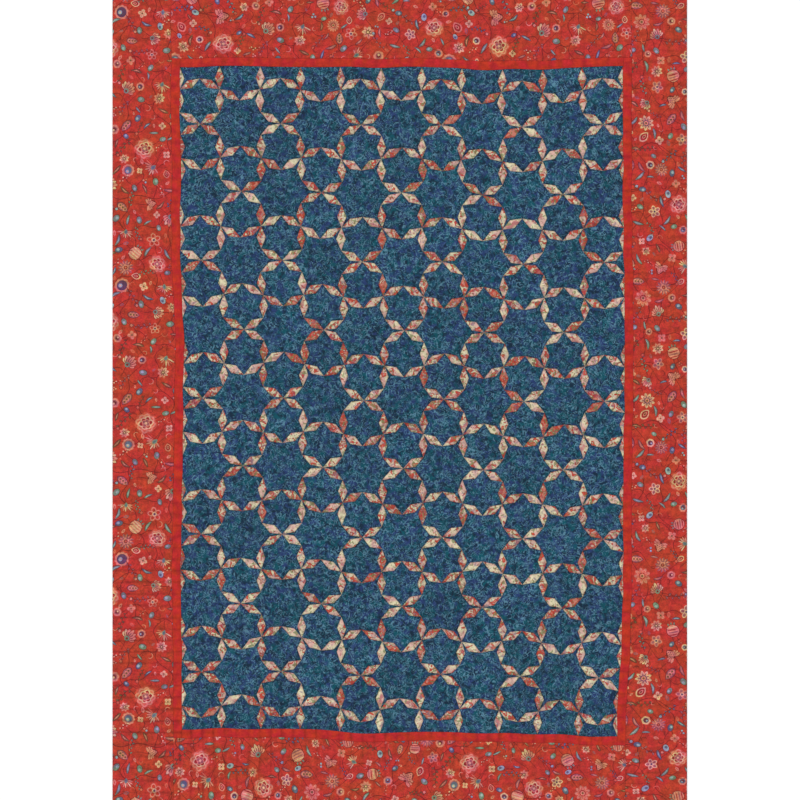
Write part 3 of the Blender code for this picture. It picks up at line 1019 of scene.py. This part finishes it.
def cross_flower(bloom):
    """Four round petals about a small olive eye."""
    name = bloom.pick(("cream", "blush", "cream"))
    bloom.petals("halo", 4, 0, 1.12, 0.52)
    bloom.petals(name, 4, 0.06, 1.0, 0.40)
    bloom.petals("coral", 4, 0.2, 0.55, 0.12)
    bloom.disc("olive", 0.22)


def blossom(bloom):
    """Five broad petals edged in cream, with a dark eye."""
    inner = bloom.pick(("coral", "ground", "mauve"))
    bloom.stalk(2.0, -0.5)
    bloom.petals("halo", 5, 0.0, 1.10, 0.42)
    bloom.petals(bloom.pick(("cream", "blush")), 5, 0.0, 1.0, 0.34)
    bloom.petals(inner, 5, 0.22, 0.84, 0.22)
    bloom.disc("cream", 0.30, 5, 0.15)
    bloom.disc("plum", 0.18)


def seed_head(bloom):
    """A tall oval head with small scales in it."""
    bloom.petal("shade", 0, -1.0, 1.05, 0.62)
    bloom.petal("mauve", 0, -0.92, 0.95, 0.52)
    for step in range(3):
        start = -0.7 + 0.46 * step
        bloom.petal("blush", 0, start, start + 0.54, 0.34)
        bloom.petal("olive", 0, start + 0.06, start + 0.40, 0.17)


def eyed_oval(bloom):
    """An oval pansy shape: pale edge, red field and pale heart."""
    bloom.petal("halo", 0, -1.1, 1.1, 0.82)
    bloom.petal(bloom.pick(("cream", "blush")), 0, -1.0, 1.0, 0.72)
    bloom.petal("crimson", 0, -0.78, 0.76, 0.54)
    bloom.petal("blush", 0, -0.50, 0.40, 0.26)
    bloom.petal("shade", 0, -0.25, 0.20, 0.12)


def bud(bloom):
    """A blue-grey bud with a dark edge and a pale light."""
    body = bloom.pick(("slate", "sage", "slate", "sage", "sky"))
    light = "sky" if body != "sky" else "slate"
    bloom.stalk(3.2, bloom.pick((-1, 1)))
    bloom.disc("shade", 1.0, stretch=(0.78, 1.06))
    bloom.disc(body, 1.0, stretch=(0.64, 0.92))
    bloom.disc(light, 0.40, middle=(0.12, 0.18), stretch=(0.9, 1.0))


def leaf(bloom):
    """A slim bent leaf with a pale rib."""
    body = bloom.pick(("sage", "slate", "sage", "olive", "mauve"))
    bend = bloom.vary(-0.25, 0.25)
    bloom.petal("shade", 0, -1.0, 1.0, 0.32, bend)
    bloom.petal(body, 0, -0.88, 0.88, 0.21, bend)
    bloom.petal("sky" if body in ("slate", "sage") else "blush", 0, -0.5, 0.6, 0.07, bend)


def sprig(bloom):
    """A bent twig with paired leaves and a bud at its tip."""
    bend = bloom.vary(-0.35, 0.35)
    points = [(step / 4 - 1, bend * math.sin(math.pi * step / 8)) for step in range(9)]
    bloom.outline("vine", ribbon(points, 0, STEM_HALF_WIDTH / bloom.size))
    body = bloom.pick(("sage", "slate", "mauve", "olive"))
    for step, place in enumerate(points[1:-1]):
        turn = (0.9 if step % 2 else -0.9) + bloom.vary(-0.2, 0.2)
        length = bloom.vary(0.26, 0.36)
        bloom.petal("shade", turn, 0, length, length * 0.34, middle=place)
        bloom.petal(body, turn, length * 0.1, length * 0.9, length * 0.2, middle=place)
    bloom.disc("shade", SPRIG_TIP_RADIUS / bloom.size, middle=points[-1])
    name = bloom.pick(("blush", "sky", "coral"))
    bloom.disc(name, SPRIG_TIP_INNER_RADIUS / bloom.size, middle=points[-1])


def drop(bloom):
    """A single loose petal."""
    bloom.petal(bloom.pick(("coral", "blush", "mauve")), 0, -1.0, 1.0, 0.55)
    bloom.petal("halo", 0, -0.6, 0.4, 0.2)


def hook(bloom):
    """A small curled tendril."""
    name = bloom.pick(("blush", "coral", "vine", "vine"))
    outer = [polar(1.0, 20 + 34 * step) for step in range(7)]
    inner = [polar(0.70 + 0.04 * abs(step - 3), 20 + 34 * step) for step in range(7)]
    bloom.outline(name, outer + inner[::-1])


def spray(bloom):
    """A curve of small dots on a thin stem."""
    bloom.petal("vine", 0, -1.0, 1.0, 0.09, 0.3)
    for step in range(6):
        along = -0.9 + 0.36 * step
        aside = 0.3 * math.cos(along * math.pi / 2) + (0.18 if step % 2 else -0.16)
        bloom.disc(bloom.pick(("cream", "blush", "coral")), 0.14, middle=(along, aside))


def berries(bloom):
    """Three berries together."""
    for step in range(3):
        middle = polar(0.55, 120 * step + 90)
        name = bloom.pick(("coral", "sky", "blush"))
        bloom.disc("shade", 0.46, middle=middle)
        bloom.disc(name, 0.34, middle=middle)


# What grows in one repeat of the print, largest first, with sizes as radii in metres
Growth = namedtuple("Growth", "draw count smallest largest room")
GROWTHS = (
    Growth(peony, 9, 0.019, 0.025, 0.95),
    Growth(fan_flower, 8, 0.019, 0.025, 0.92),
    Growth(cone_flower, 8, 0.018, 0.024, 0.90),
    Growth(spread_lily, 8, 0.019, 0.025, 0.85),
    Growth(thistle, 5, 0.015, 0.020, 0.95),
    Growth(daisy, 7, 0.014, 0.019, 1.0),
    Growth(wheel_flower, 5, 0.012, 0.016, 1.0),
    Growth(striped_fruit, 11, 0.012, 0.016, 1.15),
    Growth(seed_head, 14, 0.012, 0.016, 0.9),
    Growth(blossom, 15, 0.011, 0.016, 1.0),
    Growth(rosette, 18, 0.010, 0.015, 1.0),
    Growth(eyed_oval, 12, 0.008, 0.013, 0.95),
    Growth(ring_flower, 20, 0.007, 0.0105, 1.05),
    Growth(cross_flower, 22, 0.007, 0.010, 1.0),
    Growth(sprig, 56, 0.015, 0.026, 0.55),
    Growth(bud, 76, 0.0065, 0.0095, 1.1),
    Growth(berries, 12, 0.005, 0.007, 1.1),
    Growth(leaf, 110, 0.009, 0.015, 0.62),
    Growth(spray, 26, 0.010, 0.014, 0.62),
    Growth(drop, 60, 0.004, 0.007, 0.85),
    Growth(hook, 80, 0.004, 0.007, 1.0),
)
GROWTH_TRIES = 60
GROWTH_CHOICES = 5
GROWTH_GAP = 0.001
GROWTH_REACH = 3.4
Motif = namedtuple("Motif", "x y reach shapes")

# Thin stems that wander over the whole repeat
VINES = 18
VINE_STEPS = 104
VINE_HALF_WIDTH = 0.0009
VINE_SWAY = 0.020
VINE_RIPPLE = 0.008


def vine_motifs(chance):
    """Thin wandering stems, each a ribbon that meets itself at the repeat's edge."""
    motifs = []
    for index in range(VINES):
        upright = index % 2 == 1
        base = PRINT_REPEAT * (index + 0.5) / VINES
        waves = chance.choice((2, 3, 4))
        lean = chance.uniform(0, 2 * math.pi)
        line = []
        for step in range(VINE_STEPS + 1):
            angle = 2 * math.pi * step / VINE_STEPS
            aside = base + VINE_SWAY * math.sin(waves * angle + lean)
            aside += VINE_RIPPLE * math.sin(3 * waves * angle + 2 * lean)
            line.append((PRINT_REPEAT * step / VINE_STEPS, aside))
        shape = ribbon(line, 0, VINE_HALF_WIDTH)
        if upright:
            shape = [(y, x) for x, y in shape][::-1]
        middle = PRINT_REPEAT / 2
        shape = [(x - middle, y - middle) for x, y in shape]
        motifs.append(Motif(middle, middle, PRINT_REPEAT, [("vine", shape)]))
    return motifs


def wrapped_gaps(points, spot):
    """Distances from points to a spot on the print, over the edges of its repeat too."""
    gap = np.abs(points[:, :2] - spot)
    gap = np.minimum(gap, PRINT_REPEAT - gap)
    return np.hypot(gap[:, 0], gap[:, 1])


def free_spots(taken, room, chance):
    """A few places on the print with enough room left for one more motif."""
    spots = []
    for _ in range(GROWTH_TRIES):
        spot = (chance.uniform(0, PRINT_REPEAT), chance.uniform(0, PRINT_REPEAT))
        if np.all(wrapped_gaps(taken, spot) > taken[:, 2] + room + GROWTH_GAP):
            spots.append(spot)
            if len(spots) == GROWTH_CHOICES:
                break
    return spots


def print_tile():
    """One repeat of the flower print: stems first, then each kind of growth in turn."""
    chance = random.Random(PRINT_SEED)
    motifs = vine_motifs(chance)
    taken = np.zeros((0, 3))
    for growth in GROWTHS:
        alike = np.zeros((0, 2))
        for _ in range(growth.count):
            size = chance.uniform(growth.smallest, growth.largest)
            room = size * growth.room
            spots = free_spots(taken, room, chance)
            if not spots:
                continue
            apart = [float(wrapped_gaps(alike, spot).min(initial=PRINT_REPEAT)) for spot in spots]
            x, y = spots[apart.index(max(apart))]
            taken = np.vstack((taken, (x, y, room)))
            alike = np.vstack((alike, (x, y)))
            turn = chance.uniform(0, 2 * math.pi)
            bloom = Bloom(size, chance)
            growth.draw(bloom)
            shapes = [(name, turned(outline, turn)) for name, outline in bloom.shapes]
            motifs.append(Motif(x, y, size * GROWTH_REACH, shapes))
    return motifs


# Where on the print each border is cut, and which of its sides are the quilt's own rim
BorderCut = namedtuple("BorderCut", "across along rim_sides")
BORDER_CUTS = {
    "left": BorderCut(0.10, 0.31, ("left", "bottom", "top")),
    "right": BorderCut(0.34, 0.05, ("right", "bottom", "top")),
    "bottom": BorderCut(0.22, 0.17, ("bottom",)),
    "top": BorderCut(0.41, 0.44, ("top",)),
}


def repeats(low, high):
    """Which repeats of the print can reach a stretch of cloth."""
    return range(math.floor(low / PRINT_REPEAT) - 1, math.ceil(high / PRINT_REPEAT) + 1)


def printed_shapes(region, motifs, cut):
    """The print's shapes over one piece of cloth, cut from its own place on the print."""
    shapes = []
    for motif in motifs:
        for column in repeats(region.left - cut.across, region.right - cut.across):
            for row in repeats(region.bottom - cut.along, region.top - cut.along):
                x = motif.x + cut.across + column * PRINT_REPEAT
                y = motif.y + cut.along + row * PRINT_REPEAT
                beside = x + motif.reach < region.left or x - motif.reach > region.right
                beyond = y + motif.reach < region.bottom or y - motif.reach > region.top
                if not (beside or beyond):
                    for name, outline in motif.shapes:
                        shapes.append((name, [(x + px, y + py) for px, py in outline]))
    return shapes


def line_wander(x, y):
    """How far a hand-sewn quilting line strays along the band at a place."""
    return LINE_WANDER * ripples(x, y, LINE_WAVELENGTH, 5)


def line_phase(x, y, along_y):
    """Place along a band in quilting lines: a whole number on each line."""
    return ((y if along_y else x) + line_wander(x, y)) / LINE_PITCH


def band_points(region, along_y):
    """Mesh points of a band: rows that follow its quilting lines, and columns across."""
    if along_y:
        start, end, low, high = region.bottom, region.top, region.left, region.right
    else:
        start, end, low, high = region.left, region.right, region.bottom, region.top
    columns = [low, high]
    for margin in BAND_EDGE_COLUMNS:
        columns += [low + margin, high - margin]
    inner_low = low + BAND_EDGE_COLUMNS[-1]
    inner_high = high - BAND_EDGE_COLUMNS[-1]
    count = max(round((inner_high - inner_low) / BAND_COLUMN_STEP), 1)
    columns += [inner_low + (inner_high - inner_low) * k / count for k in range(1, count)]
    rows = []
    first = math.floor(start / LINE_PITCH)
    last = math.ceil(end / LINE_PITCH)
    for line in range(first, last + 1):
        rows += [(line + share) * LINE_PITCH for share in LINE_ROWS]
    across, along = (grid.ravel() for grid in np.meshgrid(columns, rows))
    if along_y:
        placed = along - line_wander(across, along)
    else:
        placed = along - line_wander(along, across)
    kept = (placed > start + BAND_END_MARGIN) & (placed < end - BAND_END_MARGIN)
    ends = [(column, place) for column in columns[2:] for place in (start, end)]
    for margin in BAND_EDGE_COLUMNS:
        ends += [(column, place) for column in columns for place in (start + margin, end - margin)]
    points = list(zip(across[kept], placed[kept])) + ends
    if along_y:
        return points
    return [(place, column) for column, place in points]


def clear_points(points, outlines):
    """The points that keep their distance from every outline, so no triangle is too thin."""
    marks = []
    for outline in outlines:
        for (x1, y1), (x2, y2) in zip(outline, outline[1:] + outline[:1]):
            parts = math.ceil(math.hypot(x2 - x1, y2 - y1) / OUTLINE_CLEARANCE)
            marks += [
                (x1 + (x2 - x1) * k / parts, y1 + (y2 - y1) * k / parts, 0) for k in range(parts)
            ]
    if not marks:
        return points
    tree = KDTree(len(marks))
    for index, mark in enumerate(marks):
        tree.insert(mark, index)
    tree.balance()
    return [p for p in points if tree.find((p[0], p[1], 0))[2] > OUTLINE_CLEARANCE]


def band_face(region, along_y, shapes):
    """A band's face as flat triangles, each with the name of its print colour."""
    coords = [
        (region.left, region.bottom),
        (region.right, region.bottom),
        (region.right, region.top),
        (region.left, region.top),
    ]
    faces = [[0, 1, 2, 3]]
    names = ["ground"]
    for name, outline in shapes:
        start = len(coords)
        coords += outline
        faces.append(list(range(start, start + len(outline))))
        names.append(name)
    coords += clear_points(band_points(region, along_y), [outline for _, outline in shapes])
    cut = delaunay_2d_cdt([Vector(p) for p in coords], [], faces, 0, MERGE_DISTANCE, True)
    points = np.array([tuple(p) for p in cut[0]])
    kept = [index for index, owners in enumerate(cut[5]) if 0 in owners]
    triangles = np.array([tuple(cut[2][index]) for index in kept])
    colours = [names[max(cut[5][index])] for index in kept]
    return points, triangles, colours


def band_height(region, along_y, crown_height, rim_sides):
    """Heights over a band: low at seams and quilting lines, rounded off at the quilt's rim."""

    def height_at(x, y):
        full = np.abs(np.sin(math.pi * line_phase(x, y, along_y))) ** CROWN_SHARPNESS
        height = BAND_LINE_HEIGHT + (crown_height - BAND_LINE_HEIGHT) * full
        height += rippled(x, y, BAND_RIPPLES)
        for side, distance in side_distances(x, y, region).items():
            distance = np.clip(distance, 0, None)
            if side in rim_sides:
                share = np.clip(distance / RIM_ROUNDING, 0, 1)
                rounding = np.sqrt(1 - (1 - share) ** 2)
                height = RIM_HEIGHT + (height - RIM_HEIGHT) * rounding
            else:
                rise = 1 - np.exp(-distance / BAND_SHOULDER)
                height = BAND_SEAM_HEIGHT + (height - BAND_SEAM_HEIGHT) * rise
        return height

    return height_at


def make_band(name, node, materials, region, along_y, crown_height, rim_sides, shapes):
    """A strip or border: face cut from its print, quilted, laid down and closed underneath."""
    points, triangles, colours = band_face(region, along_y, shapes)
    mesh = bpy.data.meshes.new("band")
    mesh.from_pydata([(px, py, 0.0) for px, py in points], [], triangles.tolist())
    x, y = points[:, 0], points[:, 1]
    shades = {key: colour(*value)[:3] for key, value in PRINT_COLOURS.items()}
    keep(mesh, "line_phase", "POINT", line_phase(x, y, along_y) + 0.5)
    keep(mesh, "seam_distance", "POINT", rim_distance(x, y, region))
    keep(mesh, "stitch_run", "POINT", x if along_y else y)
    keep(mesh, "print", "FACE", [shades[key] for key in colours], "FLOAT_VECTOR", "vector")
    keep(mesh, "on_ground", "FACE", [key == "ground" for key in colours])
    bm = editable(mesh)
    bmesh.ops.delete(bm, geom=[v for v in bm.verts if not v.link_faces], context="VERTS")
    lay_down(bm, band_height(region, along_y, crown_height, rim_sides))
    close_below(bm, 1)
    add_piece(name, bm, materials, node)


def bands_between(inner, outer, outer_gap):
    """Four bands between two rectangles: two long sides, and two ends between them."""
    gap = SEAM_GAP / 2
    low = outer.bottom + outer_gap
    high = outer.top - outer_gap
    return {
        "left": Region(outer.left + outer_gap, inner.left - gap, low, high),
        "right": Region(inner.right + gap, outer.right - outer_gap, low, high),
        "bottom": Region(inner.left + gap, inner.right - gap, low, inner.bottom - gap),
        "top": Region(inner.left + gap, inner.right - gap, inner.top + gap, high),
    }


def make_strips(back):
    """The plain strips round the centre."""
    materials = (plain_red(), back)
    for side, region in bands_between(FIELD, STRIP_RIM, SEAM_GAP / 2).items():
        make_band(
            f"plain_strip_{side}", f"strip_{side}", materials, region,
            side in ("left", "right"), STRIP_CROWN_HEIGHT, (), [],
        )


def make_borders(back):
    """The flower-print borders, each cut from its own place on the print."""
    materials = (flower_print(), back)
    motifs = print_tile()
    for side, region in bands_between(STRIP_RIM, QUILT_RIM, 0.0).items():
        cut = BORDER_CUTS[side]
        make_band(
            f"flower_border_{side}", f"border_{side}", materials, region,
            side in ("left", "right"), BAND_CROWN_HEIGHT, cut.rim_sides,
            printed_shapes(region, motifs, cut),
        )


def make_stage():
    """Pale floor, soft light, and the camera straight above."""
    bpy.ops.mesh.primitive_plane_add(size=FLOOR_SIZE, location=(0, 0, -FLOOR_DROP))
    floor = bpy.context.object
    floor.name = "floor"
    paint = bpy.data.materials.new("pale floor")
    paint.use_nodes = True
    surface = paint.node_tree.nodes["Principled BSDF"]
    surface.inputs["Base Color"].default_value = (0.95, 0.95, 0.95, 1)
    surface.inputs["Roughness"].default_value = 0.95
    surface.inputs["Specular IOR Level"].default_value = 0.1
    floor.data.materials.append(paint)

    key = bpy.data.lights.new("key", "SUN")
    key.energy = LAMP_ENERGY
    key.angle = math.radians(LAMP_ANGLE)
    lamp = bpy.data.objects.new("key", key)
    lamp.rotation_euler = Vector(LAMP_PLACE).to_track_quat("Z", "Y").to_euler()
    bpy.context.scene.collection.objects.link(lamp)

    world = bpy.data.worlds.new("studio")
    world.use_nodes = True
    nodes, links = world.node_tree.nodes, world.node_tree.links
    heading = nodes.new("ShaderNodeTexCoord")
    split = nodes.new("ShaderNodeSeparateXYZ")
    fade = nodes.new("ShaderNodeMapRange")
    links.new(heading.outputs["Generated"], split.inputs[0])
    links.new(split.outputs["Z"], fade.inputs["Value"])
    fade.inputs["From Max"].default_value = SKY_FADE_TOP
    fade.inputs["To Min"].default_value = SKY_LOW
    fade.inputs["To Max"].default_value = SKY_HIGH
    links.new(fade.outputs[0], nodes["Background"].inputs["Strength"])
    nodes["Background"].inputs["Color"].default_value = (1.0, 1.0, 1.0, 1)
    bpy.context.scene.world = world

    lens = bpy.data.cameras.new("camera")
    lens.lens = LENS
    lens.sensor_width = SENSOR
    camera = bpy.data.objects.new("camera", lens)
    camera.location = (VIEW_CENTRE_X, 0, FACE_HEIGHT + VIEW_WIDTH * LENS / SENSOR)
    bpy.context.scene.collection.objects.link(camera)
    bpy.context.scene.camera = camera
    bpy.context.scene.view_settings.view_transform = "Standard"


make_stage()
plain_back = underside()
make_centre(plain_back)
make_strips(plain_back)
make_borders(plain_back)
